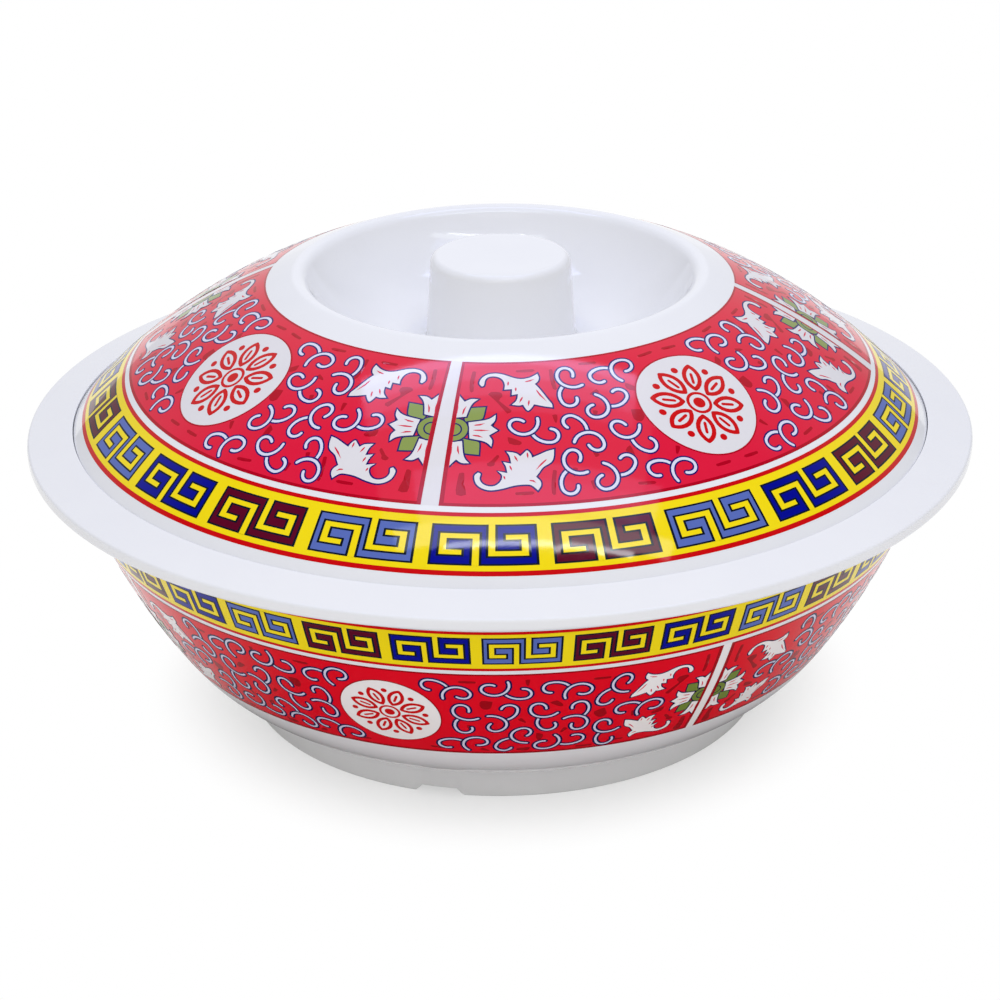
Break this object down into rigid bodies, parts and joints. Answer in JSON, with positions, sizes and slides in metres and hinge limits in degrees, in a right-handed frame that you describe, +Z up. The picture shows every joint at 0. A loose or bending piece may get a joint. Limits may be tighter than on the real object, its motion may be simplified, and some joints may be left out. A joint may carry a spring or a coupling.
{
  "type": "lidded serving bowl",
  "caption": "Round moulded serving bowl on a notched foot ring, with a wide sloping rim, a domed lift-off lid with a sunk knob, and printed panels and fret borders.",
  "frame": {"origin": "centre of the foot ring's standing face, on the table", "axes": "+Z up along the bowl's axis, the pictured side faces -Y, +X to the right seen from the front"},
  "size_m": [0.25, 0.25, 0.122],
  "materials": {
    "melamine": "glossy white moulded melamine",
    "panel_print": "crimson printed foil under a clear glaze",
    "border_print": "yellow printed fret border under a clear glaze"
  },
  "bodies": {
    "bowl": {"bowl": "melamine", "bowl_border_foil": "border_print", "bowl_panel_foil_1": "panel_print", "bowl_panel_foil_2": "panel_print", "bowl_panel_foil_3": "panel_print", "bowl_panel_foil_4": "panel_print"},
    "lid": {"lid": "melamine", "lid_border_foil": "border_print", "lid_panel_foil_1": "panel_print", "lid_panel_foil_2": "panel_print", "lid_panel_foil_3": "panel_print", "lid_panel_foil_4": "panel_print"}
  },
  "joints": [
    {"name": "lid_lift", "type": "slide", "parent": "bowl", "child": "lid", "axis": [0, 0, 1], "range_m": [0, 0.12]}
  ]
}
